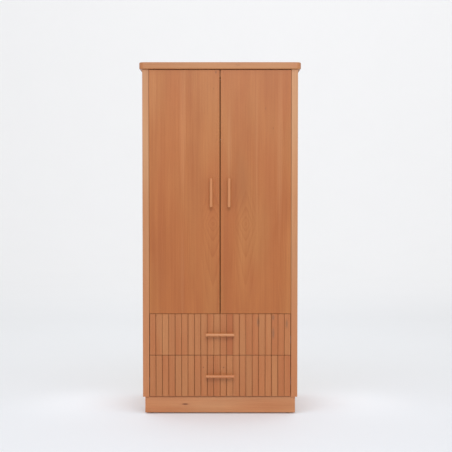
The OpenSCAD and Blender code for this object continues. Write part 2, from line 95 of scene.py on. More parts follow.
class Side(Enum):
    """The left or the right half of the armoire, with the sign of its X."""

    LEFT = -1
    RIGHT = 1

    @property
    def word(self) -> str:
        """The side's name as the nodes spell it."""
        return self.name.lower()


class Tier(Enum):
    """The upper or the lower drawer."""

    UPPER = "upper"
    LOWER = "lower"


def tint(code: str) -> RGB:
    """Turns a colour such as "c88f6a" into linear red, green and blue.

    Args:
        code: six hexadecimal digits, two for each channel.

    Returns:
        The channels as linear values from 0 to 1.
    """
    channels = [int(code[i : i + 2], 16) / 255 for i in (0, 2, 4)]
    return tuple(c / 12.92 if c <= 0.04045 else ((c + 0.055) / 1.055) ** 2.4 for c in channels)


# ---------------------------------------------------------------- node graphs


class Graph:
    """Writes a material's nodes, so that a finish reads as a formula."""

    def __init__(self, name: str) -> None:
        """Starts an empty material with a shader and an output.

        Args:
            name: the material's name.
        """
        self.material = bpy.data.materials.new(name)
        self.material.use_nodes = True
        self.tree = self.material.node_tree
        self.tree.nodes.clear()
        self.shader = self.tree.nodes.new("ShaderNodeBsdfPrincipled")
        output = self.tree.nodes.new("ShaderNodeOutputMaterial")
        self.tree.links.new(self.shader.outputs[0], output.inputs[0])

    def node(self, kind: str, inputs: dict | None = None, **settings: object) -> bpy.types.Node:
        """Adds a node.

        Args:
            kind: the node's type.
            inputs: values or sockets by input name or number.
            **settings: properties of the node.

        Returns:
            The new node.
        """
        made = self.tree.nodes.new(kind)
        for key, value in settings.items():
            setattr(made, key, value)
        for key, value in (inputs or {}).items():
            self.feed(made.inputs[key], value)
        return made

    def feed(self, target: Socket, value: object) -> None:
        """Links a socket to an input, or writes a constant into it.

        Args:
            target: the input.
            value: a socket, a number, a vector or a colour.
        """
        if isinstance(value, bpy.types.NodeSocket):
            self.tree.links.new(value, target)
        elif target.type == "RGBA":
            target.default_value = (*value, 1.0)
        else:
            target.default_value = value

    def math(self, operation: str, *values: object, clamp: bool = False) -> Socket:
        """Adds a Math node and returns its result.

        Args:
            operation: the operation's name.
            *values: one to three numbers or sockets.
            clamp: keeps the result from 0 to 1.

        Returns:
            The result's socket.
        """
        inputs = dict(enumerate(values))
        return self.node("ShaderNodeMath", inputs, operation=operation, use_clamp=clamp).outputs[0]

    def times(self, first: object, second: object) -> Socket:
        """Multiplies two numbers."""
        return self.math("MULTIPLY", first, second)

    def total(self, *terms: object) -> Socket:
        """Adds up two or more numbers."""
        result = terms[0]
        for term in terms[1:]:
            result = self.math("ADD", result, term)
        return result

    def place(self, output: str = "Object") -> Socket:
        """The object coordinates, or another output of the coordinates node."""
        return self.node("ShaderNodeTexCoord").outputs[output]

    def parts(self, vector: Socket) -> list[Socket]:
        """Splits a vector into its X, Y and Z."""
        return list(self.node("ShaderNodeSeparateXYZ", {0: vector}).outputs)

    def scaled(self, vector: Socket, amount: float) -> Socket:
        """Scales a vector."""
        return self.node("ShaderNodeVectorMath", {0: vector, 3: amount}, operation="SCALE").outputs[0]

    def vector(self, x: object, y: object, z: object) -> Socket:
        """Joins three numbers into a vector."""
        return self.node("ShaderNodeCombineXYZ", {0: x, 1: y, 2: z}).outputs[0]

    def noise(self, where: Socket, detail: float = 2.0, bend: float = 0.0) -> Socket:
        """Adds smooth noise whose cells are one unit of the given coordinates.

        Args:
            where: the coordinates.
            detail: how many finer layers are added.
            bend: how much the noise distorts itself.

        Returns:
            A value around 0.5.
        """
        inputs = {"Vector": where, "Scale": 1.0, "Detail": detail, "Distortion": bend}
        return self.node("ShaderNodeTexNoise", inputs, noise_dimensions="3D").outputs[0]

    def blend(self, share: object, first: object, second: object, mode: str = "MIX") -> Socket:
        """Mixes two colours.

        Args:
            share: how much of the second colour.
            first: the first colour.
            second: the second colour.
            mode: the way to mix.

        Returns:
            The mixed colour's socket.
        """
        inputs = {0: share, 6: first, 7: second}
        return self.node("ShaderNodeMix", inputs, data_type="RGBA", blend_type=mode).outputs[2]

    def ease(self, value: object, low: float, high: float, start: float = 0.0, end: float = 1.0) -> Socket:
        """Maps a value smoothly from one range to another and clamps it.

        Args:
            value: the value.
            low: where the input range starts.
            high: where the input range ends.
            start: the result at the start.
            end: the result at the end.

        Returns:
            The mapped value's socket.
        """
        inputs = {"Value": value, "From Min": low, "From Max": high, "To Min": start, "To Max": end}
        return self.node("ShaderNodeMapRange", inputs, interpolation_type="SMOOTHSTEP").outputs[0]

    def swing(self, value: Socket, amount: float) -> Socket:
        """Centres noise on zero and scales it."""
        return self.times(self.math("SUBTRACT", value, 0.5), amount)

    def bump(self, height: Socket, depth: float) -> None:
        """Gives the shader a relief.

        Args:
            height: the relief, from 0 to 1.
            depth: its depth in metres.
        """
        inputs = {"Height": height, "Distance": depth, "Strength": 1.0}
        self.feed(self.shader.inputs["Normal"], self.node("ShaderNodeBump", inputs).outputs[0])

    def fix(self, **values: float) -> None:
        """Sets constants on the shader's own sockets, with underscores for spaces."""
        for key, value in values.items():
            self.shader.inputs[key.replace("_", " ")].default_value = value


# ---------------------------------------------------------------- finishes


@dataclass(frozen=True)
class Fibres:
    """A board's own coordinates, across, through and along its fibres."""

    graph: Graph
    across: Socket
    through: Socket
    along: Socket

    def noise(self, fine: float, long: float, detail: float, bend: float = 0.0) -> Socket:
        """Adds noise with cells that are narrow across and long along the fibres.

        Args:
            fine: cells per metre across.
            long: cells per metre along.
            detail: how many finer layers are added.
            bend: how much the noise distorts itself.

        Returns:
            A value around 0.5.
        """
        g = self.graph
        where = g.vector(g.times(self.across, fine), g.times(self.through, fine), g.times(self.along, long))
        return g.noise(where, detail, bend)


DUSK = tint("f3f6fa")
FLECK = tint("7a4a2c")
BLUSH = tint("eab08c")


@dataclass(frozen=True)
class Eye:
    """The eye of a flat-sawn figure on a veneered face.

    Its rings are nearly round at the middle and draw out to long points along the fibres.
    """

    x: float
    z: float
    ring: float = 0.0165
    core: float = 0.030
    below: float = 0.62
    above: float = 0.26
    roundness: float = 1.6


@dataclass(frozen=True)
class Mark:
    """A soft-edged spot or stripe of another colour, at a place in the row frame."""

    x: float
    z: float
    half_x: float
    half_z: float
    colour: RGB
    strength: float


@dataclass(frozen=True)
class Timber:
    """Oiled beech, cut as boards whose fibres run along one axis."""

    name: str
    grain: Axis
    pale: RGB
    deep: RGB
    rosy: RGB
    contrast: float = 1.0
    ring: float = 0.007
    mottle: float = 0.5
    eyes: tuple[Eye, ...] = ()
    marks: tuple[Mark, ...] = ()
    roughness: float = 0.46
    relief: float = 0.12 * MM

    def material(self) -> bpy.types.Material:
        """Builds the wood from the grain's own coordinates.

        Returns:
            The material.
        """
        g = Graph(self.name)
        fibres = self.fibres(g)
        # Cells per metre across the fibres and along them, finer layers and bend.
        hair = fibres.noise(620, 9, 3)
        streak = fibres.noise(150, 2.1, 3, 0.3)
        band = fibres.noise(26, 0.9, 2, 0.2)
        cloud = fibres.noise(8.5, 1.5, 2, 0.4)
        drift = fibres.noise(5.5, 1.6, 1)
        fleck = g.ease(fibres.noise(1250, 150, 1), 0.62, 0.74)
        depth = g.total(
            g.swing(hair, 0.62 * self.contrast),
            g.swing(streak, 0.85 * self.contrast),
            g.swing(band, 0.95 * self.contrast),
            g.swing(self.rings(fibres, drift), 0.30 * self.contrast),
            g.swing(cloud, 2.4 * self.mottle),
        )
        colour = g.blend(g.math("ADD", depth, 0.5, clamp=True), self.pale, self.deep)
        colour = g.blend(g.ease(drift, 0.35, 0.68, 0.0, 0.75), colour, self.rosy, "MULTIPLY")
        middle = g.times(g.total(drift, band), 0.5)
        dusk = g.ease(g.math("SUBTRACT", 1.0, middle), 0.46, 0.66)
        colour = g.blend(g.times(dusk, self.mottle), colour, DUSK, "MULTIPLY")
        colour = g.blend(g.times(fleck, 0.30), colour, FLECK)
        colour = self.marked(g, self.toned(g, colour), streak)
        g.feed(g.shader.inputs["Base Color"], colour)
        g.feed(g.shader.inputs["Roughness"], g.total(g.swing(hair, 0.16), self.roughness))
        g.bump(g.total(g.times(hair, 0.6), g.times(fleck, -0.5)), self.relief)
        return g.material

    def fibres(self, g: Graph) -> Fibres:
        """Reads a board's own coordinates.

        Args:
            g: the material's graph.

        Returns:
            The coordinates, turned to the direction of the grain.
        """
        shift = g.node("ShaderNodeAttribute", attribute_name="board_shift").outputs["Vector"]
        moved = g.node("ShaderNodeVectorMath", {0: g.place(), 1: shift}, operation="ADD").outputs[0]
        x, y, z = g.parts(moved)
        turned = {Axis.X: (z, y, x), Axis.Y: (x, z, y), Axis.Z: (x, y, z)}
        return Fibres(g, *turned[self.grain])

    def rings(self, fibres: Fibres, drift: Socket) -> Socket:
        """Draws the annual rings, bent round the eyes of the figure.

        Args:
            fibres: the board's own coordinates.
            drift: slow noise that makes the rings wander.

        Returns:
            The ring pattern, from 0 to 1.
        """
        g = fibres.graph
        wander = fibres.noise(14, 1.3, 2)
        plain = g.total(fibres.across, g.times(fibres.through, 1.3), g.swing(drift, 0.10))
        phase = g.math("DIVIDE", g.total(plain, g.swing(wander, 0.035)), self.ring)
        pattern = self.ring_profile(g, phase)
        for eye in self.eyes:
            pattern = self.eye_rings(fibres, eye, wander, pattern)
        return pattern

    def eye_rings(self, fibres: Fibres, eye: Eye, wander: Socket, pattern: Socket) -> Socket:
        """Lays the rings of one eye over the straight rings.

        Args:
            fibres: the board's own coordinates.
            eye: the eye.
            wander: noise that bends its rings.
            pattern: the rings so far.

        Returns:
            The ring pattern with the eye in it.
        """
        g = fibres.graph
        middle = g.total(g.swing(wander, 0.030), eye.x)
        side = g.math("ABSOLUTE", g.math("SUBTRACT", fibres.across, middle))
        rise = g.math("SUBTRACT", fibres.along, eye.z)
        run = g.total(g.math("DIVIDE", g.math("ABSOLUTE", rise), eye.core), 1.0)
        climb = g.times(g.math("LOGARITHM", run, math.e), eye.core)
        squares = g.total(g.math("POWER", side, eye.roundness), g.math("POWER", climb, eye.roundness))
        radius = g.math("POWER", squares, 1 / eye.roundness)
        local = self.ring_profile(g, g.total(g.math("DIVIDE", radius, eye.ring), 0.35))
        upper = g.ease(rise, 0.35 * eye.above, eye.above, 1.0, 0.0)
        lower = g.ease(rise, -eye.below, -0.4 * eye.below, 0.0, 1.0)
        near = g.times(g.times(g.ease(side, 0.030, 0.080, 1.0, 0.0), upper), lower)
        mix = {0: near, 2: pattern, 3: g.total(g.swing(local, 1.6), 0.5)}
        return g.node("ShaderNodeMix", mix, clamp_factor=True).outputs[0]

    @staticmethod
    def ring_profile(g: Graph, phase: Socket) -> Socket:
        """Turns a running count of rings into early and late wood.

        Args:
            g: the material's graph.
            phase: the count.

        Returns:
            A value that climbs slowly and drops fast in each ring.
        """
        saw = g.math("FRACT", phase)
        return g.times(g.math("POWER", saw, 2.2), g.ease(saw, 0.90, 1.0, 1.0, 0.0))

    @staticmethod
    def toned(g: Graph, colour: Socket) -> Socket:
        """Makes each board a little lighter, darker or redder than the next.

        Args:
            g: the material's graph.
            colour: the wood's colour.

        Returns:
            The colour with the board's own tone.
        """
        tone = g.node("ShaderNodeAttribute", attribute_name="board_tone").outputs["Fac"]
        blush = g.node("ShaderNodeAttribute", attribute_name="board_blush").outputs["Fac"]
        level = g.total(tone, 1.0)
        colour = g.blend(1.0, colour, g.vector(level, level, level), "MULTIPLY")
        return g.blend(blush, colour, BLUSH, "MULTIPLY")

    def marked(self, g: Graph, colour: Socket, ragged: Socket) -> Socket:
        """Adds the knots, stains, pale stripes and darker patches of this finish, with ragged edges.

        Args:
            g: the material's graph.
            colour: the wood's colour.
            ragged: noise along the fibres that breaks up the edges.

        Returns:
            The colour with its marks.
        """
        x, _, z = g.parts(g.place())
        for mark in self.marks:
            u = g.math("DIVIDE", g.math("SUBTRACT", x, mark.x), mark.half_x)
            w = g.math("DIVIDE", g.math("SUBTRACT", z, mark.z), mark.half_z)
            far = g.math("SQRT", g.total(g.math("POWER", u, 2.0), g.math("POWER", w, 2.0)))
            far = g.total(far, g.swing(ragged, 0.7))
            colour = g.blend(g.ease(far, 0.25, 1.0, mark.strength, 0.0), colour, mark.colour)
        return colour


@dataclass(frozen=True)
class Plywood:
    """Birch plywood with its plies showing on the edges."""

    name: str
    grain: Axis
    thin: Axis
    ply: float = 1.4 * MM

    def material(self) -> bpy.types.Material:
        """Builds pale faces and striped edges.

        Returns:
            The material.
        """
        g = Graph(self.name)
        parts = g.parts(g.place())
        scaled = [g.times(parts[a.value], 4.0 if a is self.grain else 260.0) for a in Axis]
        grain = g.noise(g.vector(*scaled), 3, 0.2)
        face = g.blend(g.ease(grain, 0.3, 0.7), tint("dcc39c"), tint("c9a97e"))
        stripe = g.math("FRACT", g.math("DIVIDE", parts[self.thin.value], 2 * self.ply))
        ply = g.ease(g.math("ABSOLUTE", g.math("SUBTRACT", stripe, 0.5)), 0.2, 0.3)
        edge = g.blend(ply, tint("a97c50"), tint("d9bc90"))
        facing = g.parts(g.place("Normal"))[self.thin.value]
        on_edge = g.ease(g.math("ABSOLUTE", facing), 0.35, 0.65, 1.0, 0.0)
        g.feed(g.shader.inputs["Base Color"], g.blend(on_edge, face, edge))
        g.feed(g.shader.inputs["Roughness"], g.total(g.swing(grain, 0.2), 0.55))
        g.bump(grain, 0.08 * MM)
        return g.material


@dataclass(frozen=True)
class Metal:
    """Bright or zinc-plated steel, brushed along one axis."""

    name: str
    colour: RGB
    roughness: float
    brushed: Axis
    wear: float = 0.10

    def material(self) -> bpy.types.Material:
        """Builds the metal with fine brush lines and faint stains.

        Returns:
            The material.
        """
        g = Graph(self.name)
        place = g.place()
        parts = g.parts(place)
        scaled = [g.times(parts[a.value], 25.0 if a is self.brushed else 2200.0) for a in Axis]
        lines = g.noise(g.vector(*scaled), 2)
        stain = g.noise(g.scaled(place, 38.0), 4)
        shade = g.ease(stain, 0.42, 0.75, 0.0, self.wear * 3)
        dull = tuple(c * 0.72 for c in self.colour)
        g.feed(g.shader.inputs["Base Color"], g.blend(shade, self.colour, dull))
        rough = g.total(g.swing(lines, 0.18), g.times(shade, 0.5), self.roughness)
        g.feed(g.shader.inputs["Roughness"], rough)
        g.bump(lines, 0.02 * MM)
        g.fix(Metallic=1.0)
        return g.material


@dataclass(frozen=True)
class Moulding:
    """Moulded plastic or rubber with a fine spark-eroded texture."""

    name: str
    colour: RGB
    roughness: float

    def material(self) -> bpy.types.Material:
        """Builds the moulded surface.

        Returns:
            The material.
        """
        g = Graph(self.name)
        place = g.place()
        grain = g.noise(g.scaled(place, 1800.0), 2)
        slow = g.noise(g.scaled(place, 60.0), 2)
        darker = tuple(c * 0.8 for c in self.colour)
        g.feed(g.shader.inputs["Base Color"], g.blend(g.ease(slow, 0.3, 0.7), self.colour, darker))
        g.feed(g.shader.inputs["Roughness"], g.total(g.swing(grain, 0.15), self.roughness))
        g.bump(grain, 0.03 * MM)
        return g.material


@dataclass(frozen=True)
class StudioPaper:
    """The matt seamless paper under and behind the armoire."""

    name: str = "studio_paper"
    colour: RGB = (0.94, 0.94, 0.945)

    def material(self) -> bpy.types.Material:
        """Builds the paper.

        Returns:
            The material.
        """
        g = Graph(self.name)
        soft = g.noise(g.scaled(g.place(), 1.5), 2)
        darker = tuple(c * 0.985 for c in self.colour)
        g.feed(g.shader.inputs["Base Color"], g.blend(soft, self.colour, darker))
        g.fix(Roughness=0.9)
        return g.material


# ---------------------------------------------------------------- mesh work


def bridge_rings(bm: bmesh.types.BMesh, rings: Sequence[list], closed: bool = False) -> None:
    """Joins rings of vertices with faces; a ring may be a single point.

    Args:
        bm: the mesh.
        rings: the rings in order.
        closed: joins the last ring to the first as well.
    """
    pairs = list(zip(rings, rings[1:]))
    if closed:
        pairs.append((rings[-1], rings[0]))
    for a, b in pairs:
        for i in range(max(len(a), len(b))):
            j = i + 1
            corners = (a[i % len(a)], a[j % len(a)], b[j % len(b)], b[i % len(b)])
            unique = list(dict.fromkeys(corners))
            if len(unique) > 2:
                bm.faces.new(unique)


CUTTER_EASE = 0.05 * MM
CUTTER_SIDES = 24


@dataclass(frozen=True)
class Cut:
    """A block or a round hole that is taken out of a board."""

    low: Point
    high: Point
    round_axis: Axis | None = None


class Stock:
    """Collects solids into one piece, each with its own tone and shift of the grain."""

    def __init__(self, name: str) -> None:
        """Starts an empty piece.

        Args:
            name: the piece's name.
        """
        self.name = name
        self.bm = bmesh.new()
        self.tone = self.bm.verts.layers.float.new("board_tone")
        self.blush = self.bm.verts.layers.float.new("board_blush")
        self.shift = self.bm.verts.layers.float_vector.new("board_shift")

    def _mark(self, fresh: Iterable, tone: float, blush: float, shift: Point) -> None:
        """Writes the tone, blush and grain shift of new vertices.

        Args:
            fresh: the vertices.
            tone: how much lighter or darker than the finish.
            blush: how much redder than the finish.
            shift: the shift of the grain.
        """
        for vert in fresh:
            vert[self.tone] = tone
            vert[self.blush] = blush
            vert[self.shift] = shift

    def block(
        self, low: Sequence[float], high: Sequence[float], ease: float, segments: int = 2,
        tone: float = 0.0, blush: float = 0.0, shift: Point = NO_SHIFT,
    ) -> None:
        """Adds a block with eased edges.

        Args:
            low: its lowest corner.
            high: its highest corner.
            ease: the radius of its edges.
            segments: how many facets round an edge.
            tone: how much lighter or darker than the finish.
            blush: how much redder than the finish.
            shift: the shift of its grain.
        """
        low, high = Vector(low), Vector(high)
        size = high - low
        place = Matrix.Translation((low + high) / 2) @ Matrix.Diagonal((*size, 1.0))
        fresh = bmesh.ops.create_cube(self.bm, size=1.0, matrix=place)["verts"]
        edges = list({e for v in fresh for e in v.link_edges})
        made = bmesh.ops.bevel(
            self.bm,
            geom=edges,
            offset=ease,
            segments=segments,
            profile=0.5,
            affect="EDGES",
            clamp_overlap=True,
        )
        self._mark({v for f in made["faces"] for v in f.verts}, tone, blush, shift)

    def lathe(
        self, profile: Sequence[tuple[float, float]], axis: Axis, start: Point, sides: int,
        shift: Point = NO_SHIFT, closed: bool = False,
    ) -> None:
        """Adds a turned solid.

        Args:
            profile: pairs of radius and distance along the axis.
            axis: the axis.
            start: where the axis starts.
            sides: how many facets round it.
            shift: the shift of its grain.
            closed: joins the last ring to the first, as on a tube.
        """
        first, second = (a.value for a in Axis if a is not axis)
        rings = []
        for radius, reach in profile:
            ring = []
            for angle in full_turn(sides if radius else 1):
                point = list(start)
                point[axis.value] += reach
                point[first] += radius * math.cos(angle)
                point[second] += radius * math.sin(angle)
                ring.append(self.bm.verts.new(point))
            rings.append(ring)
        bridge_rings(self.bm, rings, closed)
        self._mark((v for ring in rings for v in ring), 0.0, 0.0, shift)

    def shell(self, rings: Sequence[Sequence[Point]], shift: Point) -> None:
        """Adds a closed solid through rings of equally many points, capped at both ends.

        Args:
            rings: the rings, from one cap to the other.
            shift: the shift of its grain.
        """
        loops = [[self.bm.verts.new(p) for p in ring] for ring in rings]
        bridge_rings(self.bm, loops)
        self.bm.faces.new(loops[0])
        self.bm.faces.new(loops[-1])
        self._mark((v for loop in loops for v in loop), 0.0, 0.0, shift)

    def piece(
        self, material: bpy.types.Material, body: str,
        replaces: Sequence[str], cuts: Sequence[Cut] = (),
    ) -> None:
        """Turns the collected solids into a piece that rides on a body.

        Args:
            material: its material.
            body: the body that it moves with.
            replaces: the CAD nodes that it stands for.
            cuts: what is taken out of it.
        """
        made = self.to_object()
        if cuts:
            carve(made, cuts)
        shade(made)
        made.data.materials.append(material)
        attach(made, body)
        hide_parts(*replaces)
        log.info("%s: %d faces on %s", self.name, len(made.data.polygons), body)

    def to_object(self) -> bpy.types.Object:
        """Turns the collected solids into an object of the scene.

        Returns:
            The new object.
        """
        bmesh.ops.recalc_face_normals(self.bm, faces=self.bm.faces)
        mesh = bpy.data.meshes.new(self.name)
        self.bm.to_mesh(mesh)
        self.bm.free()
        made = bpy.data.objects.new(self.name, mesh)
        bpy.context.scene.collection.objects.link(made)
        return made


def shade(made: bpy.types.Object, crisp: float = 35.0, flatness: int = 80) -> None:
    """Shades a piece smooth, with crisp edges and flat faces kept flat.

    Args:
        made: the piece.
        crisp: edges sharper than this many degrees stay crisp.
        flatness: how strongly the large faces set the shading, from 1 to 100.
    """
    made.data.shade_smooth()
    made.data.set_sharp_from_angle(angle=math.radians(crisp))
    flat = made.modifiers.new("flat_faces", "WEIGHTED_NORMAL")
    flat.keep_sharp = True
    flat.weight = flatness


def carve(board: bpy.types.Object, cuts: Sequence[Cut]) -> None:
    """Takes blocks and round holes out of a board.

    Args:
        board: the board, whose mesh is replaced.
        cuts: what is taken out.
    """
    tools = Stock("cutting_tools")
    for cut in cuts:
        if cut.round_axis is None:
            tools.block(cut.low, cut.high, CUTTER_EASE, 1)
            continue
        low, high = Vector(cut.low), Vector(cut.high)
        along = cut.round_axis.value
        across = next(a.value for a in Axis if a is not cut.round_axis)
        start = (low + high) / 2
        start[along] = low[along]
        length = high[along] - low[along]
        radius = (high[across] - low[across]) / 2
        profile = [(0, 0), (radius, 0), (radius, length), (0, length)]
        tools.lathe(profile, cut.round_axis, tuple(start), CUTTER_SIDES)
    cutter = tools.to_object()
    step = board.modifiers.new("cuts", "BOOLEAN")
    step.operation = "DIFFERENCE"
    step.solver = "EXACT"
    step.object = cutter
    bpy.context.view_layer.update()
    shaped = board.evaluated_get(bpy.context.evaluated_depsgraph_get())
    result = bpy.data.meshes.new_from_object(shaped)
    board.modifiers.clear()
    spent = (board.data, cutter.data)
    board.data = result
    bpy.data.objects.remove(cutter)
    for mesh in spent:
        bpy.data.meshes.remove(mesh)


def arc(radius: float, start: float, end: float, steps: int) -> list[tuple[float, float]]:
    """Points on an arc round the origin.

    Args:
        radius: the arc's radius.
        start: its first angle in degrees.
        end: its last angle in degrees.
        steps: how many steps it takes.

    Returns:
        The points, both ends included.
    """
    angles = [math.radians(start + (end - start) * i / steps) for i in range(steps + 1)]
    return [(radius * math.cos(a), radius * math.sin(a)) for a in angles]


def full_turn(steps: int) -> list[float]:
    """Divides a full turn into equal steps.

    Args:
        steps: how many.

    Returns:
        The angles in radians.
    """
    return [2 * math.pi * i / steps for i in range(steps)]


def drawn_shift(draw: random.Random, most: float = 3.0) -> Point:
    """Draws a shift of the grain.

    Args:
        draw: the random numbers to draw from.
        most: the largest shift in metres, either way.

    Returns:
        The shift in metres.
    """
    return (draw.uniform(-most, most), draw.uniform(-most, most), draw.uniform(-most, most))


def own_shift(name: str) -> Point:
    """A shift of the grain that is each board's own and the same in every run.

    Args:
        name: the board's name.

    Returns:
        The shift in metres.
    """
    return drawn_shift(random.Random(name))


def eased_board(
    node: str, material: bpy.types.Material, body: str, ease: float, shift: Point = NO_SHIFT
) -> None:
    """Replaces a node by an eased board of the same size.

    Args:
        node: the CAD node.
        material: the board's material.
        body: the body that it moves with.
        ease: the radius of its edges.
        shift: the shift of its grain.
    """
    stock = Stock(f"{node}_board")
    stock.block(*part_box(node), ease, shift=shift)
    stock.piece(material, body, [node])


def dress_node(node: str, material: bpy.types.Material) -> None:
    """Gives a CAD node that keeps its shape a finish.

    Args:
        node: the node.
        material: its material.
    """
    part = bpy.data.objects[node]
    part.data.materials.clear()
    part.data.materials.append(material)


# ---------------------------------------------------------------- palette


@dataclass(frozen=True)
class Palette:
    """All finishes of the armoire, made once."""

    upright: bpy.types.Material
    lengthwise: bpy.types.Material
    top: bpy.types.Material
    plinth: bpy.types.Material
    crosswise: bpy.types.Material
    doors: dict[Side, bpy.types.Material]
    slats: bpy.types.Material
    backing: bpy.types.Material
    grip_upright: bpy.types.Material
    grip_level: bpy.types.Material
    ply: dict[Axis, bpy.types.Material]
    back_ply: bpy.types.Material
    zinc: bpy.types.Material
    bright: bpy.types.Material
    black: bpy.types.Material
    nylon: bpy.types.Material
    catch: bpy.types.Material
    rubber: bpy.types.Material


BEECH = {"pale": tint("cb9568"), "deep": tint("b87c51"), "rosy": tint("f6e6da")}
TOP = {"pale": tint("c28c5c"), "deep": tint("ad7347"), "rosy": tint("faeadc")}
PLINTH = {"pale": tint("cf9264"), "deep": tint("b8784c"), "rosy": tint("f8e6d8")}
STEAMED = {"pale": tint("bd783f"), "deep": tint("a45c28"), "rosy": tint("fae8dc")}
SLATTED = {"pale": tint("c1814f"), "deep": tint("ab6537"), "rosy": tint("fae8dc")}
TURNED = {"pale": tint("d2905f"), "deep": tint("be7748"), "rosy": tint("f8e6da")}
PALE_STREAK = tint("cf9565")
RUSTY_STREAK = tint("a2592c")
BROWN_STAIN = tint("8f6040")
KNOT = tint("64341f")


def door_marks(side: Side, low: Vector, high: Vector) -> tuple[Mark, ...]:
    """The pale and rusty stripes and the few dark flecks on a door.

    Args:
        side: which door.
        low: the door's lowest corner.
        high: its highest corner.

    Returns:
        The marks.
    """
    top, foot = high.z, low.z
    if side is Side.LEFT:
        return (
            Mark(-0.208, top - 0.32, 0.022, 0.52, PALE_STREAK, 0.17),
            Mark(-0.212, foot + 0.22, 0.015, 0.36, PALE_STREAK, 0.12),
            Mark(-0.135, top - 0.62, 0.055, 0.42, RUSTY_STREAK, 0.10),
            Mark(-0.345, foot + 0.25, 0.060, 0.20, RUSTY_STREAK, 0.17),
            Mark(-0.375, top - 0.12, 0.035, 0.30, PALE_STREAK, 0.10),
            Mark(-0.023, top - 0.013, 0.004, 0.012, KNOT, 0.7),
            Mark(-0.035, top - 0.105, 0.003, 0.010, KNOT, 0.5),
        )
    return (
        Mark(0.052, top - 0.40, 0.016, 0.30, PALE_STREAK, 0.17),
        Mark(0.205, top - 0.45, 0.012, 0.55, PALE_STREAK, 0.12),
        Mark(0.335, top - 0.45, 0.020, 0.60, PALE_STREAK, 0.15),
        Mark(0.270, top - 0.80, 0.050, 0.45, RUSTY_STREAK, 0.13),
        Mark(0.180, foot + 0.20, 0.045, 0.16, RUSTY_STREAK, 0.13),
        Mark(0.120, top - 0.62, 0.050, 0.22, BROWN_STAIN, 0.07),
        Mark(0.255, top - 0.215, 0.003, 0.012, KNOT, 0.5),
        Mark(0.297, top - 0.325, 0.003, 0.008, KNOT, 0.45),
    )


def front_marks() -> tuple[Mark, ...]:
    """The mineral stains and pin knots on the drawer fronts.

    Returns:
        The marks.
    """
    upper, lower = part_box("upper_slats")[1].z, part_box("lower_slats")[1].z
    stains = ((0.214, 0.045, 0.040), (0.299, 0.020, 0.020), (0.299, 0.110, 0.045), (0.374, 0.055, 0.035))
    knots = (-0.094, 0.020)
    return (
        *(Mark(x, upper - drop, 0.010, half, BROWN_STAIN, 0.7) for x, drop, half in stains),
        *(Mark(x, lower - 0.068, 0.006, 0.006, KNOT, 0.6) for x in knots),
    )


def make_palette() -> Palette:
    """Builds every finish.

    Returns:
        The palette.
    """
    low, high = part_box("right_door")
    eye_z = low.z + 0.37 * (high.z - low.z)
    eyes = {Side.LEFT: Eye(-0.040, eye_z), Side.RIGHT: Eye(0.142, eye_z)}
    doors = {
        side: Timber(
            f"veneer_{side.word}", Axis.Z, **STEAMED, contrast=0.76, mottle=0.38,
            eyes=(eyes[side],), marks=door_marks(side, low, high),
        ).material()
        for side in Side
    }
    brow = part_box("top_board")[0].z
    top_marks = (
        Mark(0.100, brow + 0.022, 0.022, 0.005, tint("96603c"), 0.5),
        Mark(0.420, brow + 0.020, 0.060, 0.020, tint("b8734a"), 0.5),
        Mark(-0.440, brow + 0.018, 0.030, 0.020, tint("b8734a"), 0.4),
    )
    knot = (
        Mark(-0.197, 0.054, 0.040, 0.009, tint("ad6a44"), 0.5),
        Mark(-0.197, 0.054, 0.022, 0.005, KNOT, 0.95),
    )
    # Both side panels turn darker and redder towards the floor, alike on each side.
    foot = tuple(Mark(side.value * 0.42, 0.20, 0.30, 0.80, tint("bd7042"), 0.52) for side in Side)
    slats = Timber("beech_slats", Axis.Z, **SLATTED, contrast=0.9, mottle=0.2, marks=front_marks())
    return Palette(
        upright=Timber("beech_upright", Axis.Z, **BEECH, marks=foot).material(),
        lengthwise=Timber("beech_lengthwise", Axis.X, **BEECH).material(),
        top=Timber("beech_top", Axis.X, **TOP, marks=top_marks).material(),
        plinth=Timber("beech_plinth", Axis.X, **PLINTH, marks=knot).material(),
        crosswise=Timber("beech_crosswise", Axis.Y, **BEECH).material(),
        doors=doors,
        slats=slats.material(),
        backing=Timber("beech_backing", Axis.X, **STEAMED, contrast=0.7).material(),
        grip_upright=Timber("turned_upright", Axis.Z, **TURNED, contrast=0.7, roughness=0.36).material(),
        grip_level=Timber("turned_level", Axis.X, **TURNED, contrast=0.7, roughness=0.36).material(),
        ply={
            Axis.X: Plywood("ply_side", Axis.Y, Axis.X).material(),
            Axis.Y: Plywood("ply_cross", Axis.X, Axis.Y).material(),
            Axis.Z: Plywood("ply_flat", Axis.X, Axis.Z).material(),
        },
        back_ply=Plywood("ply_back", Axis.Z, Axis.Y).material(),
        zinc=Metal("zinc_plate", tint("c9ccd0"), 0.38, Axis.Y, 0.2).material(),
        bright=Metal("bright_steel", tint("dcdee0"), 0.22, Axis.X, 0.05).material(),
        black=Metal("black_oxide", tint("3a3835"), 0.42, Axis.Y, 0.05).material(),
        nylon=Moulding("nylon", tint("e6dfcc"), 0.45).material(),
        catch=Moulding("catch_plastic", tint("e9e7e0"), 0.4).material(),
        rubber=Moulding("glide_rubber", tint("2a2826"), 0.7).material(),
    )


# ---------------------------------------------------------------- sub-assemblies


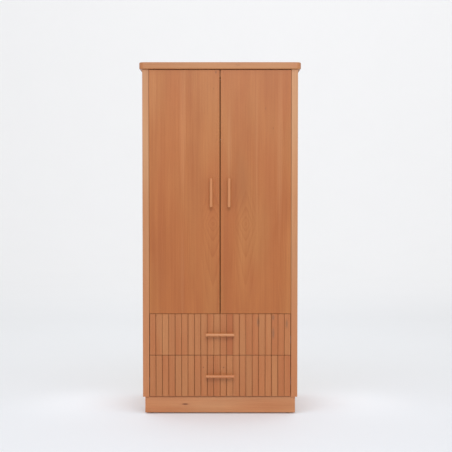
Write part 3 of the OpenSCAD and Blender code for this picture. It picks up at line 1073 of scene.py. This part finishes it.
@dataclass
class Carcass:
    """The fixed wooden box: top, sides, panels, shelf, rail and back."""

    palette: Palette
    ease: float = 1.4 * MM
    corner: float = 26 * MM
    tightest: float = 2 * MM
    upper_round: float = 6 * MM
    lower_round: float = 6 * MM
    rim_steps: int = 7
    corner_steps: int = 10
    pin_rows: tuple[int, ...] = (-2, -1, 1, 2)
    pin_pitch: float = 32 * MM
    pin_setback: float = 5 * MM
    pin_hole: float = 2.6 * MM
    rail_wall: float = 1.5 * MM
    rail_sides: int = 48
    play: float = 1 * MM
    body: str = "carcass"

    def build(self) -> None:
        """Builds every board of the carcass and dresses its fittings."""
        self.top_board()
        for side in Side:
            self.side_panel(side)
        for node in ("bottom_panel", "hat_shelf", "stop_rail"):
            shift = own_shift(node)
            eased_board(node, self.palette.lengthwise, self.body, self.ease, shift)
        self.hanging_rail()
        self.dress()

    def outline(self, low: Vector, high: Vector, inset: float) -> list[tuple[float, float]]:
        """The plan outline of the top board, some way in from its edge.

        Args:
            low: the board's lowest corner.
            high: the board's highest corner.
            inset: how far in, at the front and the sides.

        Returns:
            The outline's points, from the back right round the front.
        """
        radius = max(self.corner - inset, self.tightest)
        back = high.y - min(inset, self.ease)
        x1, y0 = high.x - inset, low.y + inset
        right = [(x1 - radius + c, y0 + radius + s) for c, s in arc(radius, 0, -90, self.corner_steps)]
        half = [(x1 - self.ease, back), (x1, back - self.ease), *right]
        return half + [(-x, y) for x, y in reversed(half)]

    def top_board(self) -> None:
        """Builds the top board with its rounded rim and corners."""
        low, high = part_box("top_board")
        sweep = arc(self.lower_round, -90, -180, self.rim_steps)
        profile = [(self.lower_round + c, self.lower_round + s) for c, s in sweep]
        height = high.z - low.z
        sweep = arc(self.upper_round, 180, 90, self.rim_steps)
        profile += [(self.upper_round + c, height - self.upper_round + s) for c, s in sweep]
        rings = []
        for inset, rise in profile:
            rings.append([(x, y, low.z + rise) for x, y in self.outline(low, high, inset)])
        stock = Stock("rounded_top")
        stock.shell(rings, own_shift("rounded_top"))
        stock.piece(self.palette.top, self.body, ["top_board"])

    def side_panel(self, side: Side) -> None:
        """Builds one side panel with its rebate and its rows of shelf pin holes.

        Args:
            side: which side.
        """
        node = f"{side.word}_side"
        low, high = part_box(node)
        back_low, back_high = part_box("back_panel")
        pins_low, pins_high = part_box("shelf_pins")
        inner = low.x if side is Side.RIGHT else high.x
        play = self.play
        reach = max(abs(back_low.x), abs(back_high.x)) + play
        near, far = sorted((inner - side.value * play, side.value * reach))
        cuts = [Cut((near, back_low.y, low.z - play), (far, high.y + play, high.z + play))]
        depth = abs(pins_high.x) - abs(inner)
        near, far = sorted((inner - side.value * play, inner + side.value * depth))
        for y in (pins_low.y + self.pin_setback, pins_high.y - self.pin_setback):
            for row in self.pin_rows:
                z = (pins_low.z + pins_high.z) / 2 + row * self.pin_pitch
                corner = (near, y - self.pin_hole, z - self.pin_hole)
                cuts.append(Cut(corner, (far, y + self.pin_hole, z + self.pin_hole), Axis.X))
        stock = Stock(f"{side.word}_panel")
        stock.block(low, high, self.ease, shift=own_shift(node))
        stock.piece(self.palette.upright, self.body, [node], cuts)

    def hanging_rail(self) -> None:
        """Builds the tubular hanging rail."""
        low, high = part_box("hanging_rail")
        radius = (high.z - low.z) / 2
        bore = radius - self.rail_wall
        length = high.x - low.x
        stock = Stock("clothes_rail")
        profile = [(bore, 0), (radius, 0), (radius, length), (bore, length)]
        start = (low.x, (low.y + high.y) / 2, (low.z + high.z) / 2)
        stock.lathe(profile, Axis.X, start, self.rail_sides, closed=True)
        stock.piece(self.palette.bright, self.body, ["hanging_rail"])

    def dress(self) -> None:
        """Gives the fittings that keep their CAD shape their finishes."""
        finishes = self.palette
        looks = {
            "deck_panel": finishes.lengthwise,
            "back_panel": finishes.back_ply,
            "carcass_dowels": finishes.upright,
            "rail_sockets": finishes.bright,
            "shelf_pins": finishes.zinc,
            "back_screws": finishes.zinc,
            "pivot_brackets": finishes.black,
            "pivot_screws": finishes.black,
            "door_catches": finishes.catch,
            "upper_outer_runners": finishes.zinc,
            "lower_outer_runners": finishes.zinc,
        }
        for node, material in looks.items():
            dress_node(node, material)


@dataclass
class Plinth:
    """The recessed base with its corner blocks and glides."""

    palette: Palette
    ease: float = 1.5 * MM
    body: str = "carcass"

    def build(self) -> None:
        """Builds the four plinth boards and dresses the blocks and glides."""
        looks = {
            "plinth_front": self.palette.plinth,
            "plinth_back": self.palette.lengthwise,
            "plinth_left": self.palette.crosswise,
            "plinth_right": self.palette.crosswise,
        }
        for node, material in looks.items():
            eased_board(node, material, self.body, self.ease, own_shift(node))
        dress_node("plinth_blocks", self.palette.upright)
        dress_node("floor_glides", self.palette.rubber)


@dataclass
class Handle:
    """A turned bar on two posts."""

    bar: str
    posts: str
    body: str
    axis: Axis
    material: bpy.types.Material
    end_round: float = 2.2 * MM
    end_steps: int = 5
    flare: float = 1.4 * MM
    flare_height: float = 3.0 * MM
    flare_steps: int = 4
    bar_sides: int = 40
    post_sides: int = 28

    def build(self) -> None:
        """Builds the bar and the posts."""
        self.turned_bar()
        self.turned_posts()

    def turned_bar(self) -> None:
        """Builds the bar with its rounded ends."""
        low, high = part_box(self.bar)
        length = (high - low)[self.axis.value]
        radius = (high.y - low.y) / 2
        core = radius - self.end_round
        near = [(core + s, self.end_round + c) for c, s in arc(self.end_round, 180, 90, self.end_steps)]
        profile = [(0.0, 0.0), *near, *[(r, length - t) for r, t in reversed(near)], (0.0, length)]
        start = (low + high) / 2
        start[self.axis.value] = low[self.axis.value]
        stock = Stock(f"{self.bar}_turned")
        stock.lathe(profile, self.axis, tuple(start), self.bar_sides, own_shift(self.bar))
        stock.piece(self.material, self.body, [self.bar])

    def turned_posts(self) -> None:
        """Builds the two posts, flared where they meet the front."""
        low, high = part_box(self.posts)
        length = high.y - low.y
        radius = (high.z - low.z) / 2 if self.axis is Axis.X else (high.x - low.x) / 2
        foot = length - self.flare_height
        profile = [(0.0, 0.0), (radius, 0.0), (radius, foot)]
        for c, s in arc(self.flare, 180, 90, self.flare_steps)[1:]:
            profile.append((radius + self.flare + c, foot + self.flare_height * s / self.flare))
        profile.append((0.0, length))
        stock = Stock(f"{self.posts}_turned")
        for end in (low, high):
            spot = (low + high) / 2
            inward = radius if end is low else -radius
            spot[self.axis.value] = end[self.axis.value] + inward
            spot.y = low.y
            stock.lathe(profile, Axis.Y, tuple(spot), self.post_sides, own_shift(self.posts))
        stock.piece(self.material, self.body, [self.posts])


@dataclass
class Door:
    """One veneered door with its handle and pivot fittings."""

    side: Side
    palette: Palette
    ease: float = 1.2 * MM
    strike_play: float = 0.1 * MM
    bush_depth: float = 22 * MM
    overrun: float = 1 * MM

    @property
    def body(self) -> str:
        """The body that the door is."""
        return f"door_{self.side.word}"

    @property
    def node(self) -> str:
        """The node of the door's leaf, which also begins the names of its fittings."""
        return f"{self.side.word}_door"

    def build(self) -> None:
        """Builds the leaf and the handle and dresses the fittings."""
        self.leaf()
        node = self.node
        Handle(f"{node}_bar", f"{node}_posts", self.body, Axis.Z, self.palette.grip_upright).build()
        dress_node(f"{node}_bushes", self.palette.nylon)
        dress_node(f"{node}_screws", self.palette.zinc)
        dress_node(f"{node}_strike", self.palette.zinc)

    def leaf(self) -> None:
        """Builds the leaf with pockets for its bushes and its strike plate."""
        low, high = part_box(self.node)
        play, overrun, depth = self.strike_play, self.overrun, self.bush_depth
        near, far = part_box(f"{self.node}_strike")
        pocket = (near.x - play, near.y - play, near.z - play)
        cuts = [Cut(pocket, (far.x + play, far.y + overrun, far.z + play))]
        near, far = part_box(f"{self.node}_bushes")
        for z0, z1 in ((low.z - overrun, low.z + depth), (high.z - depth, high.z + overrun)):
            cuts.append(Cut((near.x, near.y, z0), (far.x, far.y, z1), Axis.Z))
        stock = Stock(f"{self.side.word}_leaf")
        stock.block(low, high, self.ease, 3)
        stock.piece(self.palette.doors[self.side], self.body, [self.node], cuts)


@dataclass
class Drawer:
    """One drawer: slatted front, box, handle and runner members."""

    tier: Tier
    palette: Palette
    slat_count: int = 22
    groove: float = 2.7 * MM
    groove_spread: float = 0.7 * MM
    slat_ease: float = 0.9 * MM
    backing_ease: float = 0.8 * MM
    box_ease: float = 1.0 * MM
    tone_spread: float = 0.021
    most_blush: float = 0.14
    redder: dict[int, tuple[float, float]] = field(default_factory=dict)
    box_boards: ClassVar[dict[str, Axis]] = {
        "left": Axis.X,
        "right": Axis.X,
        "back": Axis.Y,
        "bottom": Axis.Z,
    }

    @property
    def body(self) -> str:
        """The body that the drawer is."""
        return f"drawer_{self.tier.value}"

    def build(self) -> None:
        """Builds the front, the box and the handle and dresses the runners."""
        word = self.tier.value
        self.slats()
        low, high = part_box(f"{word}_front_board")
        stock = Stock(f"{word}_backing")
        stock.block(low, high, self.backing_ease, shift=own_shift(f"{word}_backing"))
        stock.piece(self.palette.backing, self.body, [f"{word}_front_board"])
        for part, thin in self.box_boards.items():
            eased_board(f"{word}_box_{part}", self.palette.ply[thin], self.body, self.box_ease)
        Handle(f"{word}_bar", f"{word}_posts", self.body, Axis.X, self.palette.grip_level).build()
        for part in ("screws", "inner_runners", "middle_runners"):
            dress_node(f"{word}_{part}", self.palette.zinc)

    def slats(self) -> None:
        """Builds the row of slats, each with its own tone."""
        node = f"{self.tier.value}_slats"
        low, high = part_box(node)
        width = (high.x - low.x - (self.slat_count - 1) * self.groove) / self.slat_count
        draw = random.Random(node)
        stock = Stock(f"{self.tier.value}_slat_row")
        for i in range(self.slat_count):
            x = low.x + i * (width + self.groove)
            tone, blush = self.redder.get(i, (0.0, 0.0))
            tone += draw.uniform(-self.tone_spread, self.tone_spread)
            blush += draw.uniform(0.0, self.most_blush)
            shift = drawn_shift(draw)
            near = draw.uniform(-self.groove_spread, self.groove_spread)
            far = draw.uniform(-self.groove_spread, self.groove_spread)
            near = x if i == 0 else x + near
            far = x + width if i == self.slat_count - 1 else x + width + far
            stock.block((near, low.y, low.z), (far, high.y, high.z), self.slat_ease, 2, tone, blush, shift)
        stock.piece(self.palette.slats, self.body, [node])


# ---------------------------------------------------------------- studio


class Reach(Enum):
    """What a lamp lights: everything but the paper, or the paper alone."""

    ARMOIRE = "EXCLUDE"
    PAPER = "INCLUDE"


@dataclass(frozen=True)
class Lamp:
    """A square area light that the camera doesn't see.

    A lamp that passes the armoire throws no shadow of it.
    """

    name: str
    reach: Reach
    place: Point
    aim: Point
    size: float
    power: float
    colour: RGB = (1.0, 1.0, 1.0)
    passes_armoire: bool = False

    def hang(self, paper: bpy.types.Object) -> None:
        """Adds the lamp to the scene.

        Args:
            paper: the seamless paper, which it lights alone or not at all.
        """
        data = bpy.data.lights.new(self.name, "AREA")
        data.size = self.size
        data.energy = self.power
        data.color = self.colour
        lamp = bpy.data.objects.new(self.name, data)
        bpy.context.scene.collection.objects.link(lamp)
        lamp.location = self.place
        lamp.rotation_euler = (Vector(self.aim) - Vector(self.place)).to_track_quat("-Z", "Y").to_euler()
        lamp.visible_camera = False
        lit = bpy.data.collections.new(f"lit_by_{self.name}")
        lit.objects.link(paper)
        lit.collection_objects[0].light_linking.link_state = self.reach.value
        lamp.light_linking.receiver_collection = lit
        if self.passes_armoire:
            lamp.light_linking.blocker_collection = lit


@dataclass
class Studio:
    """The seamless paper, the lights and the camera."""

    lens: float = 85.3
    sensor: float = 36.0
    distance: float = 6.0
    camera_x: float = 0.033
    camera_height: float = 1.279
    pitch: float = -2.08
    farthest: float = 60.0
    floor_r: float = 9.0
    curve_r: float = 6.0
    curve_end: float = -8.0
    curve_steps: int = 24
    facets: int = 96
    sky_colour: RGB = (0.985, 0.99, 1.0)
    sky_strength: float = 0.78

    def build(self, front: float) -> None:
        """Sets up the whole studio.

        Args:
            front: the Y of the front plane.
        """
        paper = self.paper()
        self.sky()
        for lamp in self.lamps():
            lamp.hang(paper)
        self.camera(front)

    def paper(self) -> bpy.types.Object:
        """Builds the seamless paper: a round floor that curves up on all sides.

        Returns:
            The paper.
        """
        sweep = arc(self.curve_r, -90, self.curve_end, self.curve_steps)
        bm = bmesh.new()
        rings = []
        for radius, height in [(0.0, 0.0), *((self.floor_r + c, self.curve_r + s) for c, s in sweep)]:
            spokes = [(math.cos(t), math.sin(t)) for t in full_turn(self.facets if radius else 1)]
            rings.append([bm.verts.new((radius * c, radius * s, height)) for c, s in spokes])
        bridge_rings(bm, rings)
        mesh = bpy.data.meshes.new("seamless_paper")
        bm.to_mesh(mesh)
        bm.free()
        mesh.shade_smooth()
        mesh.materials.append(StudioPaper().material())
        paper = bpy.data.objects.new("seamless_paper", mesh)
        bpy.context.scene.collection.objects.link(paper)
        paper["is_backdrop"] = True
        return paper

    def sky(self) -> None:
        """Lights the whole room with an even, soft sky."""
        world = bpy.data.worlds.new("soft_room")
        world.use_nodes = True
        sky = world.node_tree.nodes["Background"]
        sky.inputs[0].default_value = (*self.sky_colour, 1.0)
        sky.inputs[1].default_value = self.sky_strength
        bpy.context.scene.world = world

    @staticmethod
    def lamps() -> list[Lamp]:
        """The soft box for the armoire and the washes for the paper.

        Returns:
            The lamps.
        """
        cool, cooler, coolest = (0.9, 0.97, 1.05), (0.86, 0.98, 1.08), (0.80, 0.97, 1.16)
        paper = Reach.PAPER
        lamps = [
            Lamp("soft_box", Reach.ARMOIRE, (0.3, -4.4, 3.5), (0.0, 0.0, 1.1), 1.8, 83.0),
            Lamp("far_floor_wash", paper, (0.0, 3.0, 4.2), (0.0, 3.2, 0.0), 3.5, 29.0, cool, True),
            Lamp("floor_wash", paper, (0.0, -1.5, 3.2), (0.0, -0.7, 0.0), 2.2, 23.5, coolest),
            Lamp("wall_wash", paper, (1.0, 5.0, 8.5), (0.6, 15.0, 7.4), 4.0, 250.0),
        ]
        for side in Side:
            place = (side.value * 0.80, 0.10, 0.45)
            aim = (side.value * 0.55, 0.0, 0.0)
            lamps.append(Lamp(f"{side.word}_flank_wash", paper, place, aim, 0.4, 0.36, cooler))
        return lamps

    def camera(self, front: float) -> None:
        """Sets up the camera in front of the armoire.

        Args:
            front: the Y of the front plane.
        """
        data = bpy.data.cameras.new("camera")
        data.lens = self.lens
        data.sensor_width = self.sensor
        data.clip_end = self.farthest
        eye = bpy.data.objects.new("camera", data)
        bpy.context.scene.collection.objects.link(eye)
        eye.location = (self.camera_x, front - self.distance, self.camera_height)
        eye.rotation_euler = (math.radians(90 + self.pitch), 0.0, 0.0)
        bpy.context.scene.camera = eye


def corners(bounds: Iterable) -> list[list[float]]:
    """Turns a box's two corners into plain lists.

    Args:
        bounds: the lowest and the highest corner.

    Returns:
        The corners as lists of numbers.
    """
    return [[float(v) for v in corner] for corner in bounds]


def main() -> None:
    """Builds the studio and the armoire, in order."""
    logging.basicConfig(level=logging.INFO, format="%(name)s: %(message)s")
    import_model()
    cad_box = corners(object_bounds())
    bpy.context.scene.view_settings.view_transform = "Standard"
    Studio().build(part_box("left_door")[0].y)
    palette = make_palette()
    Carcass(palette).build()
    Plinth(palette).build()
    for side in Side:
        Door(side, palette).build()
    Drawer(Tier.UPPER, palette, redder={11: (-0.015, 0.10), 12: (-0.03, 0.16)}).build()
    Drawer(Tier.LOWER, palette).build()
    visual_box = corners(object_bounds())


if __name__ == "__main__":
    main()
